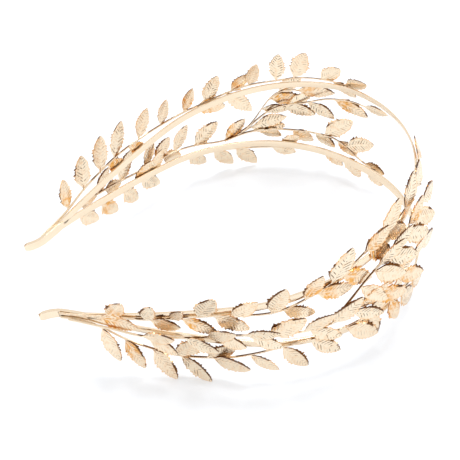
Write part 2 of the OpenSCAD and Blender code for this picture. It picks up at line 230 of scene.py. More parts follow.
@dataclass(frozen=True)
class Band:
    """The curve that every piece follows, with the distances s along, w across and o outwards."""

    crown_r: float = 62 * MM
    crown_turn: float = math.radians(114)
    arm_r: float = 338 * MM
    arm_turn: float = math.radians(11.5)
    flare_r: float = 12 * MM
    flare_turn: float = math.radians(46)
    spread: float = 20 * MM
    spread_from: float = 0.16
    meet_at: float = 0.93
    spread_power: float = 1.1
    dome: float = 3 * MM
    rest_pitch: float = math.radians(3.2)
    rail_w: float = 3 * MM
    tip_w: float = 3.7 * MM
    tip_t: float = 1.3 * MM
    tip_out: float = 0.1 * MM

    @property
    def crown_len(self) -> float:
        """Length of the round end on one arm."""
        return self.crown_r * self.crown_turn

    @property
    def gentle_len(self) -> float:
        """Length of the gentle curve."""
        return self.arm_r * self.arm_turn

    @property
    def arm_len(self) -> float:
        """Length of one arm from the middle of the crown end to the tip."""
        return self.crown_len + self.gentle_len + self.flare_r * self.flare_turn

    def plan(self, s: np.ndarray) -> tuple[np.ndarray, np.ndarray, np.ndarray]:
        """Finds the curve seen from above.

        Args:
            s: Distances along one arm, all positive.

        Returns:
            The places x and y, and the heading of the outward normal.
        """
        turned = self.crown_turn + self.arm_turn
        out_1 = np.array([math.cos(self.crown_turn), math.sin(self.crown_turn)])
        out_2 = np.array([math.cos(turned), math.sin(turned)])
        centre_1 = (self.crown_r - self.arm_r) * out_1
        centre_2 = centre_1 + (self.arm_r + self.flare_r) * out_2
        on_gentle = s - self.crown_len
        on_flare = on_gentle - self.gentle_len
        angle = np.where(on_gentle < 0, s / self.crown_r, self.crown_turn + on_gentle / self.arm_r)
        angle = np.where(on_flare > 0, turned - on_flare / self.flare_r, angle)
        radius = np.where(on_gentle < 0, self.crown_r, self.arm_r)
        radius = np.where(on_flare > 0, -self.flare_r, radius)
        centre_x = np.where(on_gentle < 0, 0, centre_1[0])
        centre_y = np.where(on_gentle < 0, 0, centre_1[1])
        centre_x = np.where(on_flare > 0, centre_2[0], centre_x)
        centre_y = np.where(on_flare > 0, centre_2[1], centre_y)
        return centre_x + radius * np.cos(angle), centre_y + radius * np.sin(angle), angle

    def half_gap(self, s: np.ndarray) -> np.ndarray:
        """Finds how far each rail lies from the band's middle line, at distances along one arm."""
        share = np.clip((s / self.arm_len - self.spread_from) / (self.meet_at - self.spread_from), 0, 1)
        return self.spread * (1 - share**self.spread_power)

    def standing(self, s: np.ndarray, w: np.ndarray, o: np.ndarray) -> np.ndarray:
        """Finds points of the band before the wreath is laid down.

        Args:
            s: Distances along the band, positive on the left arm.
            w: Distances across the band, upwards.
            o: Distances outwards from the outer face of the rails.

        Returns:
            One row of x, y and z for each point.
        """
        x, y, angle = self.plan(np.abs(s))
        fade = np.cos(np.minimum(math.pi / 2, np.abs(s) / self.crown_r))
        out = o + self.dome * fade * (1 - (w / self.spread) ** 2)
        side = np.where(s < 0, -1.0, 1.0)
        return np.stack([x + out * np.cos(angle), side * (y + out * np.sin(angle)), w + 0 * s], -1)

    def raised(self, standing: np.ndarray) -> np.ndarray:
        """Raises the crown end of the standing band by the angle at which the wreath lies."""
        turn = np.array(Matrix.Rotation(-self.rest_pitch, 3, "Y"))
        return standing @ turn.T

    def shift(self) -> np.ndarray:
        """Finds where the laid wreath stands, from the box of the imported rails.

        Returns:
            The shift in x, y and z that brings the turned band there.
        """
        low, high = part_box("band_rails")
        top = self.raised(self.standing(*np.array([[0.0], [self.spread + self.rail_w / 2], [0.0]])))
        tip = np.array([
            [self.arm_len, side * self.tip_w / 2, out]
            for side in (-1, 1) for out in (self.tip_out - self.tip_t, self.tip_out)
        ])
        tips = self.raised(self.standing(*tip.T))
        return np.array([low.x - tips[:, 0].min(), (low.y + high.y) / 2, high.z - top[0, 2]])

    def lay(self, s: np.ndarray, w: np.ndarray, o: np.ndarray) -> np.ndarray:
        """Finds points of the band as the wreath lies, from the same distances as standing."""
        return self.raised(self.standing(s, w, o)) + self.shift()


BAND = Band()
OUTER_LAYER = 0.65 * MM
INNER_LAYER = 1.85 * MM
ROD_ALONG = 0.05


# Leaves


@dataclass(frozen=True)
class LeafShape:
    """A stamped leaf: an oval blade with pressed veins, a ragged toothed edge and a short stalk."""

    length: float = 12 * MM
    width: float = 6.4 * MM
    base: float = 1.1 * MM
    sheet: float = 0.4 * MM
    stalk: float = 1.6 * MM
    stalk_w: float = 0.9 * MM
    roundness: float = 0.7
    fullest: float = 0.85
    fold: float = 0.06
    cupping: float = 0.35
    slant: float = 0.75
    veins: int = 10
    rows_per_vein: int = 3
    columns: int = 12
    vein_depth: float = 0.08 * MM
    tooth: float = 1.17
    ragged: float = 0.12
    root: float = 0.3 * MM
    rib_sides: int = 8
    rib_cuts: int = 9
    rib_root: float = 0.46
    rib_tip: float = 0.1
    rib_end: float = 0.86
    rib_from: float = 0.2 * MM
    rib_lift: float = 0.08 * MM
    rib_flatness: float = 0.8
    seed: int = 1

    @property
    def blade_len(self) -> float:
        """Length of the blade from its base, beside the stem, to its tip."""
        return self.length + self.base

    def half_width(self, along: float) -> float:
        """Finds the half width at a share of the blade's length, as a share of the widest."""
        return math.sin(math.pi * min(max(along, 0.0), 1.0) ** self.fullest) ** self.roundness

    def row_width(self, along: float) -> float:
        """Finds how wide a slanted row of the blade may be so that its ends reach the outline.

        Args:
            along: Place of the row on the midrib, as a share of the blade's length.

        Returns:
            Half the row's width as a share of the widest.
        """
        reach = self.slant * self.width / 2 / self.blade_len
        half = self.half_width(along)
        for _ in range(8):
            half = 0.5 * half + 0.5 * self.half_width(min(along + reach * half, 1.0))
        return half if along < 1 else 0.0


@dataclass
class LeafDie:
    """Models one leaf flat, with its base at the origin and its tip along x, ready to be copied."""

    cut: Cut
    shape: LeafShape

    def blade(self) -> bpy.types.Object:
        """Models the blade from a grid: chevron rows, pressed veins, ragged edge, outline and thickness.

        Returns:
            The blade, marked with how far along and across the leaf each vertex is.
        """
        shape = self.shape
        chance = random.Random(shape.seed)
        last_row = shape.veins * shape.rows_per_vein
        bpy.ops.mesh.primitive_grid_add(x_subdivisions=last_row, y_subdivisions=shape.columns, size=1)
        leaf = bpy.context.object
        leaf.name = f"leaf_{self.cut.value}"
        flat = points(leaf)
        row_of = np.rint((flat[:, 0] + 0.5) * last_row).astype(int)
        column_of = np.rint((flat[:, 1] + 0.5) * shape.columns).astype(int) - shape.columns // 2
        half = shape.width / 2
        pitch = shape.blade_len / last_row
        leaf.data.transform(Matrix.Diagonal((shape.blade_len, 2 * half, 1, 1)))
        leaf.data.transform(Matrix.Translation((shape.blade_len / 2 - shape.base, 0, 0)))
        for column in range(1, shape.columns // 2 + 1):
            share = 2 * column / shape.columns
            lift = shape.fold * share * (1 + shape.cupping * share)
            pick(leaf, np.flatnonzero(np.abs(column_of) == column))
            bpy.ops.transform.translate(value=(shape.slant * share * half, 0, lift * half))
        close_edit()
        edge = np.abs(column_of) == shape.columns // 2
        inner = (np.abs(column_of) > 0) & ~edge
        phase = row_of % shape.rows_per_vein
        pressed = inner & (phase == 0) & (row_of > 0) & (row_of < last_row)
        pick(leaf, np.flatnonzero(pressed))
        bpy.ops.transform.translate(value=(0, 0, -shape.vein_depth))
        for row in range(2, last_row):
            for side in (-1, 1):
                reach = shape.tooth if row % shape.rows_per_vein == 1 else 1.0
                reach += chance.uniform(-shape.ragged, shape.ragged)
                pick(leaf, np.flatnonzero((row_of == row) & (column_of == side * shape.columns // 2)))
                bpy.ops.transform.resize(value=(1, reach, 1), center_override=(0, 0, 0))
        for row in range(last_row + 1):
            width = shape.row_width(row / last_row)
            width = max(width, shape.stalk_w / shape.width) if row < 2 else width
            pick(leaf, np.flatnonzero(row_of == row))
            centre = (row * pitch - shape.base, 0, 0)
            bpy.ops.transform.resize(value=(width, width, width), center_override=centre)
        close_edit()
        mark(leaf, "along", row_of / last_row)
        mark(leaf, "across", 2 * column_of / shape.columns)
        pick(leaf, range(len(leaf.data.vertices)))
        bpy.ops.mesh.remove_doubles(threshold=0.01 * MM)
        close_edit()
        finish_with(leaf, "SOLIDIFY", thickness=shape.sheet, offset=0)
        return leaf

    def midrib(self) -> bpy.types.Object:
        """Models the stalk, which runs on along the blade as a raised midrib and tapers out.

        Returns:
            The stalk and midrib as one rod.
        """
        shape = self.shape
        start = -shape.stalk - shape.root
        end = shape.rib_end * shape.length
        bpy.ops.mesh.primitive_cone_add(
            vertices=shape.rib_sides, radius1=shape.rib_root * shape.stalk_w,
            radius2=shape.rib_tip * shape.stalk_w, depth=end - start,
            location=((start + end) / 2, 0, 0), rotation=(0, math.pi / 2, 0),
        )
        rod = bpy.context.object
        settle(rod)
        subdivide_along(rod, shape.rib_cuts)
        pick(rod, np.flatnonzero(points(rod)[:, 0] > shape.rib_from))
        bpy.ops.transform.translate(value=(0, 0, shape.rib_lift))
        bpy.ops.transform.resize(value=(1, 1, shape.rib_flatness), center_override=(0, 0, 0))
        close_edit()
        mark(rod, "along", ROD_ALONG)
        mark(rod, "across", 0.0)
        return rod

    def model(self) -> bpy.types.Object:
        """Models the whole leaf.

        Returns:
            The leaf, with its stalk's root on the negative side of x.
        """
        leaf = joined([self.blade(), self.midrib()], f"leaf_{self.cut.value}")
        smooth(leaf, 38)
        return leaf


def subdivide_along(piece: bpy.types.Object, cuts: int) -> None:
    """Cuts the edges of a piece that run along x into equal lengths.

    Args:
        piece: A straight bar along x.
        cuts: How many cuts each long edge gets.
    """
    places = points(piece)
    span = np.ptp(places[:, 0])
    ends = np.array([edge.vertices[:] for edge in piece.data.edges])
    long = np.abs(places[ends[:, 0], 0] - places[ends[:, 1], 0]) > 0.5 * span
    pick(piece, [])
    bpy.ops.mesh.select_mode(type="EDGE")
    close_edit()
    piece.data.edges.foreach_set("select", long)
    bpy.ops.object.mode_set(mode="EDIT")
    bpy.ops.mesh.subdivide(number_cuts=cuts)
    close_edit()


@dataclass(frozen=True)
class LeafPlace:
    """Where one leaf grows from its stem."""

    along: float
    side: Side
    angle: float
    size: float
    tilt: float


def rows(side: Side, *table: tuple[float, float, float, float]) -> list[LeafPlace]:
    """Turns rows of along, angle, size and tilt into places of leaves on one side of a stem.

    Args:
        side: The side of the stem.
        table: The rows, with angles in degrees.

    Returns:
        The places.
    """
    return [
        LeafPlace(along, side, math.radians(angle), size, math.radians(tilt))
        for along, angle, size, tilt in table
    ]


LEFT_UPPER = rows(
    UP,
    (0.88, 75, 0.95, 8), (0.83, 70, 1.05, 8), (0.78, 65, 1.10, 10), (0.74, 50, 1.15, 10),
    (0.67, 50, 1.00, 10), (0.61, 50, 0.80, 12), (0.55, 50, 0.80, 10), (0.50, 50, 0.95, 10),
    (0.44, 30, 0.75, 12), (0.40, 60, 0.75, 10), (0.34, 80, 1.00, 8), (0.30, 65, 1.15, 8),
    (0.24, 35, 0.90, 8), (0.18, 20, 0.85, 6),
) + rows(
    DOWN,
    (0.76, 35, 0.85, 0), (0.70, 35, 0.85, 0), (0.52, 20, 1.00, 0), (0.45, 50, 1.15, 0), (0.21, 30, 0.85, 0),
)
RIGHT_UPPER = rows(
    UP,
    (0.86, 50, 1.00, 8), (0.79, 60, 0.80, 12), (0.74, 45, 0.65, 14), (0.69, 55, 1.10, 10),
    (0.63, 35, 0.95, 8), (0.56, 65, 1.05, 8), (0.50, 60, 0.95, 10), (0.45, 60, 1.15, 10),
    (0.38, 30, 0.90, 10), (0.33, 50, 1.00, 10), (0.26, 35, 1.05, 8), (0.20, 10, 1.00, 4),
    (0.12, 5, 0.95, 4),
) + rows(
    DOWN,
    (0.88, 15, 1.10, 0), (0.78, 20, 0.85, 0), (0.72, 30, 1.05, 0), (0.66, 30, 1.00, 0),
    (0.54, 25, 0.90, 0), (0.48, 15, 1.05, 0), (0.43, 35, 1.05, 0), (0.37, 40, 0.95, 0),
    (0.33, 25, 1.00, 0),
)
LEFT_LOWER = rows(
    DOWN,
    (0.86, 45, 1.00, 8), (0.80, 55, 0.95, 8), (0.74, 55, 0.95, 8), (0.69, 45, 1.00, 8),
    (0.56, 45, 0.85, 8), (0.50, 55, 1.05, 6), (0.45, 50, 1.00, 6), (0.37, 20, 0.85, 6),
    (0.25, 30, 0.80, 4), (0.20, 40, 0.85, 6), (0.14, 30, 0.80, 6),
) + rows(UP, (0.71, 20, 1.05, 0), (0.66, 45, 0.90, 0), (0.35, 35, 0.80, 0))
RIGHT_LOWER = rows(
    DOWN,
    (0.88, 65, 1.05, 18), (0.84, 55, 0.95, 18), (0.79, 50, 1.00, 18), (0.74, 35, 1.05, 18),
    (0.68, 10, 1.05, 14), (0.61, 35, 0.85, 12), (0.55, 55, 0.95, 10), (0.50, 40, 1.00, 8),
    (0.43, 40, 1.15, 8), (0.38, 80, 0.90, 8), (0.33, 75, 0.95, 8), (0.29, 60, 1.10, 8),
    (0.24, 55, 0.95, 8),
) + rows(UP, (0.75, 35, 1.10, 0), (0.69, 30, 1.00, 0), (0.39, 20, 1.00, 0), (0.34, 35, 0.95, 0))
LEFT_TRUNK = rows(
    UP,
    (0.80, 30, 0.90, 10), (0.74, 35, 1.05, 12), (0.67, 40, 0.90, 12), (0.64, 30, 0.90, 10),
    (0.59, 40, 0.95, 12), (0.54, 25, 1.05, 10), (0.47, 35, 0.95, 10), (0.40, 5, 1.00, 10),
) + rows(
    DOWN,
    (0.85, 20, 0.85, 10), (0.78, 25, 0.85, 12), (0.69, 30, 0.90, 12), (0.62, 30, 0.85, 12),
    (0.41, 10, 1.10, 12),
)
RIGHT_TRUNK = rows(
    UP,
    (0.80, 10, 1.00, 10), (0.68, 20, 0.90, 10), (0.61, 10, 0.90, 10), (0.57, 30, 1.10, 10),
    (0.51, 30, 0.95, 10), (0.46, 40, 1.05, 10), (0.41, 25, 1.00, 10), (0.35, 30, 1.00, 10),
    (0.29, 30, 0.95, 10),
) + rows(
    DOWN,
    (0.79, 25, 0.90, 12), (0.72, 20, 0.95, 12), (0.66, 20, 0.80, 12), (0.60, 30, 0.85, 12),
    (0.50, 30, 0.85, 12), (0.42, 30, 0.95, 12), (0.37, 30, 1.00, 14), (0.32, 30, 1.05, 12),
    (0.24, 15, 0.95, 8),
)
LEFT_HIGH = rows(UP, (0.34, 35, 0.85, 12)) + rows(
    DOWN,
    (0.38, 15, 0.85, 12), (0.36, 10, 1.05, 12), (0.30, 10, 1.10, 12),
)
RIGHT_HIGH = rows(UP, (0.36, 30, 0.90, 12), (0.33, 20, 0.90, 12), (0.27, 25, 0.90, 12)) + rows(
    DOWN,
    (0.40, 50, 0.95, 12), (0.37, 35, 1.00, 14), (0.34, 30, 1.00, 14), (0.29, 35, 1.00, 14),
    (0.25, 30, 0.95, 12), (0.20, 10, 0.95, 8),
)
LEFT_MIDDLE = rows(UP, (0.32, 30, 0.80, 12)) + rows(
    DOWN,
    (0.33, 35, 1.00, 14), (0.28, 45, 1.00, 14), (0.22, 30, 1.10, 12), (0.15, 5, 0.80, 8),
)
LEFT_LOW = rows(UP, (0.25, 35, 1.05, 12), (0.20, 20, 0.95, 10)) + rows(
    DOWN,
    (0.39, 30, 0.75, 12), (0.32, 45, 0.80, 14), (0.27, 45, 0.80, 14), (0.22, 40, 0.80, 14),
    (0.15, 10, 0.75, 8),
)


@dataclass(frozen=True)
class Route:
    """The way of a stem across the band, as shares of the arm and of the rails' spread."""

    marks: tuple[tuple[float, float], ...]
    ease: float = 0.02

    def across(self, along: np.ndarray | float) -> np.ndarray:
        """Finds how far across the band the stem is, eased so that it bends without kinks.

        Args:
            along: Shares of the arm's length.

        Returns:
            Distances from the middle line of the band.
        """
        at, way = zip(*self.marks)
        steps = self.ease * np.array([-1, -0.5, 0, 0.5, 1])
        eased = sum(np.interp(np.asarray(along) + step, at, way) for step in steps) / len(steps)
        return BAND.spread * eased

    @property
    def root(self) -> float:
        """Share of the arm at which the stem starts, nearest to the tip."""
        return self.marks[-1][0]


LEFT_UPPER_ROUTE = Route((
    (0.18, 1.05), (0.24, 1.05), (0.30, 1.00), (0.34, 0.90), (0.40, 0.85), (0.45, 0.75), (0.50, 0.65),
    (0.60, 0.60), (0.67, 0.60), (0.74, 0.55), (0.78, 0.45), (0.83, 0.35), (0.88, 0.15), (0.91, 0.10),
    (0.96, 0.05),
))
RIGHT_UPPER_ROUTE = Route((
    (0.12, 1.05), (0.30, 1.05), (0.38, 1.00), (0.42, 0.80), (0.45, 0.70), (0.50, 0.50), (0.55, 0.35),
    (0.65, 0.35), (0.70, 0.30), (0.75, 0.20), (0.80, 0.15), (0.86, 0.15), (0.90, 0.10), (0.96, 0.05),
))
LEFT_LOWER_ROUTE = Route((
    (0.14, -1.00), (0.20, -0.95), (0.37, -0.90), (0.45, -0.80), (0.50, -0.65), (0.56, -0.55),
    (0.62, -0.50), (0.69, -0.40), (0.74, -0.40), (0.80, -0.30), (0.86, -0.20), (0.90, -0.10),
    (0.96, -0.05),
))
RIGHT_LOWER_ROUTE = Route((
    (0.20, -0.85), (0.24, -0.80), (0.29, -0.70), (0.33, -0.60), (0.38, -0.55), (0.55, -0.55),
    (0.61, -0.70), (0.65, -0.80), (0.74, -0.80), (0.79, -0.65), (0.84, -0.45), (0.88, -0.15),
    (0.92, -0.05), (0.96, -0.05),
))
LEFT_TRUNK_ROUTE = Route((
    (0.38, -0.20), (0.42, -0.40), (0.46, -0.55), (0.50, -0.50), (0.53, -0.40), (0.58, -0.30),
    (0.64, -0.25), (0.70, -0.20), (0.76, -0.10), (0.84, 0.00), (0.94, 0.00),
))
RIGHT_TRUNK_ROUTE = Route((
    (0.24, 0.00), (0.35, 0.00), (0.40, -0.10), (0.46, -0.25), (0.52, -0.20), (0.60, -0.10),
    (0.64, -0.10), (0.70, -0.20), (0.80, -0.25), (0.86, -0.10), (0.94, 0.00),
))
LEFT_HIGH_ROUTE = Route((
    (0.30, 0.60), (0.33, 0.60), (0.36, 0.45), (0.38, 0.10), (0.40, -0.20), (0.43, -0.45),
))
RIGHT_HIGH_ROUTE = Route((
    (0.20, 0.75), (0.28, 0.80), (0.32, 0.70), (0.35, 0.60), (0.38, 0.50), (0.42, 0.20), (0.46, -0.20),
))
LEFT_MIDDLE_ROUTE = Route((
    (0.14, 0.50), (0.17, 0.55), (0.20, 0.50), (0.23, 0.45), (0.25, 0.40), (0.28, 0.25), (0.31, 0.20),
    (0.35, 0.15), (0.38, -0.05), (0.41, -0.30), (0.44, -0.50),
))
LEFT_LOW_ROUTE = Route((
    (0.15, -1.00), (0.17, -0.90), (0.20, -0.75), (0.22, -0.60), (0.27, -0.55), (0.32, -0.50),
    (0.38, -0.45), (0.42, -0.45), (0.47, -0.55),
))


# Sprays


@dataclass
class Branch:
    """A stem with its leaves, laid on the band."""

    arm: Arm
    route: Route
    leaves: list[LeafPlace]
    layer: float
    stem_w: float = 1.2 * MM
    stem_t: float = 0.85 * MM
    slimmest: float = 0.62
    sides: int = 10
    step: float = 2.0 * MM
    # Painted shade along one side of the stem and one edge of each leaf: how far from the stem's middle it
    # reaches full strength, as a share of the stem's width, where along the arm it fades out towards the
    # tip, and its strength on shaded leaves and on the others.
    shadow: float = 0.17
    rims_from: float = 0.80
    rims_gone: float = 0.86
    strong_rim: float = 1.06
    faint_rim: float = 0.92
    free_from: float = math.radians(5)
    roll: float = math.radians(6)
    curl: tuple[float, float] = (-0.4 * MM, 0.7 * MM)
    sway: float = 0.5 * MM
    cup: tuple[float, float] = (0.6, 1.4)
    # Pressed leaves get a random pick from 0.6 up: rosier, with faint nicks, and often with painted orange
    # reflection.
    pressed_tint: tuple[float, float] = (0.6, 1.0)
    stem_tint: float = 0.5

    def stem(self) -> bpy.types.Object:
        """Models the stem as a tapered wire and bends it along its route.

        Returns:
            The stem, in place.
        """
        start = min(leaf.along for leaf in self.leaves) * BAND.arm_len
        end = self.route.root * BAND.arm_len
        bpy.ops.mesh.primitive_cone_add(
            vertices=self.sides, radius1=self.slimmest * self.stem_w / 2, radius2=self.stem_w / 2,
            depth=end - start, location=((start + end) / 2, 0, 0), rotation=(0, math.pi / 2, 0),
        )
        wire = bpy.context.object
        settle(wire)
        pick(wire, range(len(wire.data.vertices)))
        bpy.ops.transform.resize(value=(1, 1, self.stem_t / self.stem_w), center_override=(0, 0, 0))
        close_edit()
        subdivide_along(wire, round((end - start) / self.step))
        flat = points(wire)
        sign = self.arm.value
        along = flat[:, 0] / BAND.arm_len
        across = self.route.across(along)
        set_points(wire, BAND.lay(sign * flat[:, 0], across + sign * flat[:, 1], self.layer + flat[:, 2]))
        smooth(wire, 50)
        mark(wire, "along", ROD_ALONG)
        mark(wire, "across", 0.0)
        mark(wire, "tint_and_painted_light", self.stem_tint)
        # Painted shade along one side of the wire, fading out towards the tip.
        fading = np.clip((self.rims_gone - along) / (self.rims_gone - self.rims_from), 0, 1)
        mark(wire, "rim_shade", np.clip(sign * flat[:, 1] / (self.shadow * self.stem_w), 0, 1) * fading)
        return wire

    def leaf(self, place: LeafPlace, die: bpy.types.Object, chance: random.Random) -> bpy.types.Object:
        """Copies a leaf and bends it into its place on the stem.

        Args:
            place: Where the leaf grows.
            die: The flat leaf.
            chance: The seeded chance that makes each leaf a little different.

        Returns:
            The leaf, in place.
        """
        copy = die.copy()
        copy.data = die.data.copy()
        bpy.context.scene.collection.objects.link(copy)
        free = place.tilt > self.free_from
        roll = chance.uniform(-self.roll, self.roll) if free else 0.0
        curl = chance.uniform(*self.curl) if free else 0.0
        sway = chance.uniform(-self.sway, self.sway)
        cup = chance.uniform(*self.cup) if free else 1.0
        flat = points(copy) * place.size
        length = LeafShape.length * place.size
        x = flat[:, 0] + LeafShape.stalk * place.size
        reach = np.clip(flat[:, 0] / length, 0, 1)
        y = flat[:, 1] + sway * reach**2
        z = flat[:, 2] * cup
        y, z = y * math.cos(roll) - z * math.sin(roll), y * math.sin(roll) + z * math.cos(roll)
        z = z + curl * reach**2
        sign = self.arm.value
        y = -sign * y
        angle = place.side.value * place.angle
        s = place.along * BAND.arm_len - x * math.cos(angle) + y * math.sin(angle)
        w = self.route.across(place.along) + x * math.sin(angle) + y * math.cos(angle)
        o = self.layer + x * math.tan(place.tilt) + z
        set_points(copy, BAND.lay(sign * s, w, o))
        # A random pick of tone, which also decides the painted orange reflection and how bold the nicks and
        # their painted shade are.
        mark(copy, "tint_and_painted_light", chance.random() if free else chance.uniform(*self.pressed_tint))
        # Painted shade along one edge of the leaf, stronger on the right arm and the inner layer, which lie
        # in shade.
        shaded = self.arm is Arm.RIGHT or self.layer == INNER_LAYER
        strength = self.strong_rim if shaded else self.faint_rim
        mark(copy, "rim_shade", np.clip(-sign * marked(copy, "across"), 0, 1) * strength)
        return copy

    def model(self, dies: dict[Cut, bpy.types.Object], chance: random.Random) -> list[bpy.types.Object]:
        """Models the stem and all its leaves.

        Args:
            dies: The flat leaves by cut.
            chance: The seeded chance of the spray.

        Returns:
            The stem and the leaves, in place.
        """
        cuts = list(Cut)
        pieces = [self.stem()]
        pieces += [self.leaf(place, dies[chance.choice(cuts)], chance) for place in self.leaves]
        return pieces


@dataclass
class Spray:
    """A spray of one or more branches that replaces its CAD node."""

    node: str
    branches: list[Branch]
    seed: int

    def build(self, dies: dict[Cut, bpy.types.Object], material: bpy.types.Material) -> bpy.types.Object:
        """Models the spray, dresses it and hands it to the frame.

        Args:
            dies: The flat leaves by cut.
            material: The finish of the leaves.

        Returns:
            The finished spray.
        """
        chance = random.Random(self.seed)
        pieces = [piece for branch in self.branches for piece in branch.model(dies, chance)]
        spray = joined(pieces, self.node + "_leaves")
        spray.data.materials.clear()
        spray.data.materials.append(material)
        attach(spray, "root")
        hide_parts(self.node)
        return spray


# Rails


@dataclass
class Rails:
    """The two flat rails and the strips that join them at the tips."""

    rail_w: float = BAND.rail_w
    rail_t: float = 0.8 * MM
    tip_from: float = 0.905
    rails_end: float = 0.97
    edge_round: float = 0.16 * MM
    end_round: float = 1.3 * MM
    end_taper: float = 0.75
    start_round: float = 3.9 * MM
    start_taper: float = 0.2
    step: float = 1.6 * MM

    def bar(self, start: float, end: float, width: float, low: float, high: float) -> bpy.types.Object:
        """Models a flat bar along x with rounded edges.

        Args:
            start: Where it starts.
            end: Where it ends.
            width: Its width.
            low: Its inner face.
            high: Its outer face.

        Returns:
            The bar, straight and cut into short lengths.
        """
        bpy.ops.mesh.primitive_cube_add(
            size=1, location=((start + end) / 2, 0, (low + high) / 2),
            scale=(end - start, width, high - low),
        )
        bar = bpy.context.object
        settle(bar)
        finish_with(bar, "BEVEL", width=self.edge_round, segments=3, limit_method="ANGLE")
        subdivide_along(bar, round((end - start) / self.step))
        return bar

    def rail(self, sign: int) -> bpy.types.Object:
        """Models the upper or the lower rail, from tip to tip.

        Args:
            sign: 1 for the upper rail and -1 for the lower one.

        Returns:
            The rail, bent along the band.
        """
        reach = self.rails_end * BAND.arm_len
        rail = self.bar(-reach, reach, self.rail_w, -self.rail_t, 0)
        flat = points(rail)
        across = sign * BAND.half_gap(np.abs(flat[:, 0])) + flat[:, 1]
        set_points(rail, BAND.lay(flat[:, 0], across, flat[:, 2]))
        return rail

    def tip(self, arm: Arm) -> bpy.types.Object:
        """Models the strip that joins the rails at one tip, with a rounded end.

        Args:
            arm: The arm that it ends.

        Returns:
            The strip, bent along the band.
        """
        start, end = self.tip_from * BAND.arm_len, BAND.arm_len
        tip = self.bar(start, end, BAND.tip_w, BAND.tip_out - BAND.tip_t, BAND.tip_out)
        flat = points(tip)
        from_end = np.clip((end - flat[:, 0]) / self.end_round, 0, 1)
        flat[:, 1] *= np.sqrt(1 - self.end_taper * (1 - from_end) ** 2)
        from_start = np.clip((flat[:, 0] - start) / self.start_round, 0, 1)
        flat[:, 1] *= 1 - self.start_taper * (1 - from_start)
        sign = arm.value
        set_points(tip, BAND.lay(sign * flat[:, 0], sign * flat[:, 1], flat[:, 2]))
        return tip

    def build(self, material: bpy.types.Material) -> bpy.types.Object:
        """Models the rails and tips, dresses them and hands them to the frame.

        Args:
            material: The finish of the rails.

        Returns:
            The finished rails.
        """
        pieces = [self.rail(1), self.rail(-1), self.tip(Arm.LEFT), self.tip(Arm.RIGHT)]
        rails = joined(pieces, "rails_and_tips")
        smooth(rails, 40)
        rails.data.materials.clear()
        rails.data.materials.append(material)
        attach(rails, "root")
        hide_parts("band_rails")
        return rails


# Finishes


class Socket:
    """A value in a node tree that can be written in sums."""

    def __init__(self, shader: "Shader", link: bpy.types.NodeSocket) -> None:
        """Wraps a node's output in the tree that it belongs to."""
        self.shader = shader
        self.link = link

    def __add__(self, other: "Socket | float") -> "Socket":
        """Returns the sum of both."""
        return self.shader.math("ADD", self, other)

    def __sub__(self, other: "Socket | float") -> "Socket":
        """Returns this value less the other."""
        return self.shader.math("SUBTRACT", self, other)

    def __rsub__(self, other: "Socket | float") -> "Socket":
        """Returns the other value less this one."""
        return self.shader.math("SUBTRACT", other, self)

    def __mul__(self, other: "Socket | float") -> "Socket":
        """Returns the product of both."""
        return self.shader.math("MULTIPLY", self, other)

    def __abs__(self) -> "Socket":
        """Returns this value without its sign."""
        return self.shader.math("ABSOLUTE", self)

    __radd__ = __add__
    __rmul__ = __mul__


class Shader:
    """The node tree of a material or of the world, under construction."""

    def __init__(self, owner: bpy.types.Material | bpy.types.World) -> None:
        """Empties the node tree of a new material or world.

        Args:
            owner: The new material or world.
        """
        self.owner = owner
        self.owner.use_nodes = True
        self.tree = self.owner.node_tree
        self.tree.nodes.clear()

    def node(self, kind: str, settings: dict[str, object], inputs: dict[str | int, object],
             output: str | int = 0) -> Socket | None:
        """Adds any node, sets it and links it.

        Args:
            kind: The node's type.
            settings: Its own settings, or the stops of a colour ramp.
            inputs: Values or sockets by the input's name or number.
            output: The output to hand back.

        Returns:
            The wrapped output, or nothing for a node without one.
        """
        made = self.tree.nodes.new(kind)
        stops = settings.pop("stops", None)
        for name, value in settings.items():
            setattr(made, name, value)
        if stops:
            ramp = made.color_ramp.elements
            while len(ramp) < len(stops):
                ramp.new(0.5)
            for element, (position, colour) in zip(ramp, stops):
                element.position = position
                element.color = (*colour, 1)
        for name, value in inputs.items():
            if isinstance(value, Socket):
                self.tree.links.new(value.link, made.inputs[name])
            else:
                made.inputs[name].default_value = value
        return Socket(self, made.outputs[output]) if len(made.outputs) else None

    def math(self, operation: str, *values: Socket | float) -> Socket:
        """Adds a Math node with this operation on these values."""
        return self.node("ShaderNodeMath", {"operation": operation}, dict(enumerate(values)))

    def noise(self, scale: float, detail: float, place: Socket, roughness: float = 0.5) -> Socket:
        """Returns the height of a noise with this many bumps to the metre."""
        values = {"Vector": place, "Scale": scale, "Detail": detail, "Roughness": roughness}
        return self.node("ShaderNodeTexNoise", {}, values, "Fac")

    def place(self) -> Socket:
        """Returns the object coordinates."""
        return self.node("ShaderNodeTexCoord", {}, {}, "Object")

    def attribute(self, name: str) -> Socket:
        """Returns a number that is written on the vertices."""
        return self.node("ShaderNodeAttribute", {"attribute_name": name}, {}, "Fac")

    def ramp(self, value: Socket, *stops: tuple[float, float]) -> Socket:
        """Maps a value through straight stretches between stops of place and height."""
        grey = [(position, (height, height, height)) for position, height in stops]
        return self.node("ShaderNodeValToRGB", {"stops": grey}, {"Fac": value})

    def blend(self, share: Socket, first: Socket | Colour, second: Colour) -> Socket:
        """Mixes this share of the second colour into the first, which may be a mixture itself."""
        under = first if isinstance(first, Socket) else (*first, 1)
        return self.node("ShaderNodeMix", {"data_type": "RGBA"}, {0: share, 6: under, 7: (*second, 1)}, 2)


